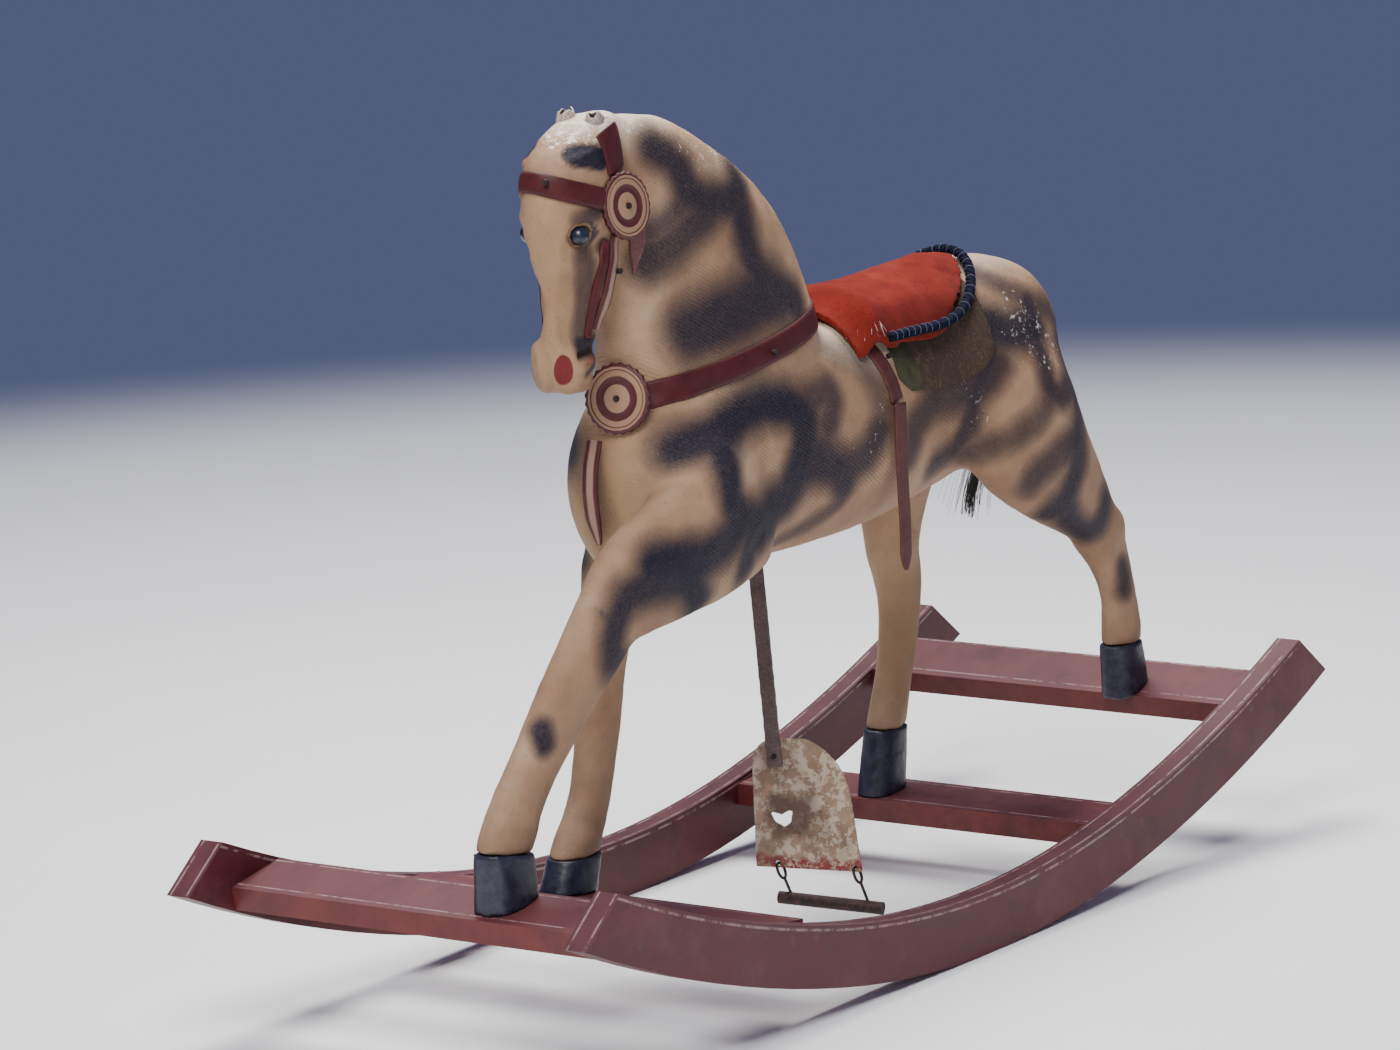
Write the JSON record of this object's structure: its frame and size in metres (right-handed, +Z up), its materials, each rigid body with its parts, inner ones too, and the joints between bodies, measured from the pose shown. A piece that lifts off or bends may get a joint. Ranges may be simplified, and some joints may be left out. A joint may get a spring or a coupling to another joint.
{
  "type": "rocking horse",
  "caption": "Carved wooden rocking horse with dapple paint on two bowed rockers joined by slats, with a felt saddle, leather harness and one hanging stirrup.",
  "frame": {"origin": "on the floor, at the rockers' line of contact, midway between the outer faces of the rockers", "axes": "+Z up, the horse faces -X, its left side is -Y"},
  "size_m": [1.08, 0.4, 0.705],
  "materials": {
    "rocker_paint": "semi-gloss maroon paint",
    "slat_paint": "semi-gloss maroon paint",
    "peg_wood": "painted over",
    "horse_paint": "cream paint with blue-grey dapples, worn",
    "hoof_paint": "dark blue-black paint",
    "eye_glass": "glossy",
    "red_leather": "worn dark red",
    "saddle_felt": "worn orange-red felt",
    "piping_cord": "navy cord",
    "cloth_brocade": "worn brown brocade with a green edge",
    "strap_leather": "stiff grey-brown",
    "plate_paint": "stiff board, flaked paint",
    "iron": "rusted dark iron",
    "tail_root": "painted",
    "tail_hair": "dark horsehair"
  },
  "bodies": {
    "horse": {"breast_collar": "red_leather", "breast_rosette": "red_leather", "breast_rosette_nail": "iron", "bridle_rosette_left": "red_leather", "bridle_rosette_left_nail": "iron", "bridle_rosette_right": "red_leather", "bridle_rosette_right_nail": "iron", "browband": "red_leather", "cheek_strap_left": "red_leather", "cheek_strap_right": "red_leather", "crownpiece": "red_leather", "ear_stump_left": "horse_paint", "ear_stump_right": "horse_paint", "eye_left": "eye_glass", "eye_right": "eye_glass", "harness_nails": "iron", "head": "horse_paint", "hoof_front_left": "hoof_paint", "hoof_front_right": "hoof_paint", "hoof_hind_left": "hoof_paint", "hoof_hind_right": "hoof_paint", "hoof_screws": "iron", "leg_front_left_lower": "horse_paint", "leg_front_left_upper": "horse_paint", "leg_front_right_lower": "horse_paint", "leg_front_right_upper": "horse_paint", "leg_hind_left_lower": "horse_paint", "leg_hind_left_upper": "horse_paint", "leg_hind_right_lower": "horse_paint", "leg_hind_right_upper": "horse_paint", "near_strap_upper": "red_leather", "neck": "horse_paint", "rocker_left": "rocker_paint", "rocker_right": "rocker_paint", "saddle": "saddle_felt", "saddle_cloth": "cloth_brocade", "saddle_piping": "piping_cord", "slat_front": "slat_paint", "slat_mid_front": "slat_paint", "slat_mid_rear": "slat_paint", "slat_pegs": "peg_wood", "slat_rear": "slat_paint", "stirrup_staple": "iron", "tail_plug": "tail_root", "throat_strap": "red_leather", "trunk": "horse_paint"},
    "stirrup": {"stirrup_strap": "strap_leather", "stirrup_plate": "plate_paint", "stirrup_rivet": "iron"},
    "tread": {"stirrup_tread": "iron", "stirrup_link_far": "iron", "stirrup_link_near": "iron"},
    "near_strap": {"near_strap_end": "red_leather"},
    "chest_tongue": {"breast_tongue": "red_leather"},
    "tail": {"tail_hair": "tail_hair"}
  },
  "joints": [
    {"name": "stirrup_swing", "type": "hinge", "parent": "horse", "child": "stirrup", "pos_m": [-0.044, -0.0143, 0.313], "axis": [-0.225, 0.9744, 0], "range_deg": [-20, 20]},
    {"name": "tread_swing", "type": "hinge", "parent": "stirrup", "child": "tread", "pos_m": [-0.03496, -0.05455, 0.0636], "axis": [-0.225, 0.9744, 0], "range_deg": [-20, 20]},
    {"name": "near_strap_swing", "type": "hinge", "parent": "horse", "child": "near_strap", "pos_m": [0.065, -0.0863, 0.43], "axis": [-1, 0, 0], "range_deg": [0, 60]},
    {"name": "chest_tongue_lift", "type": "hinge", "parent": "horse", "child": "chest_tongue", "pos_m": [-0.2438, -0.025, 0.4448], "axis": [0, 1, 0], "range_deg": [0, 60]},
    {"name": "tail_lift", "type": "hinge", "parent": "horse", "child": "tail", "pos_m": [0.38, -0.013, 0.441], "axis": [0, -1, 0], "range_deg": [0, 60]}
  ]
}
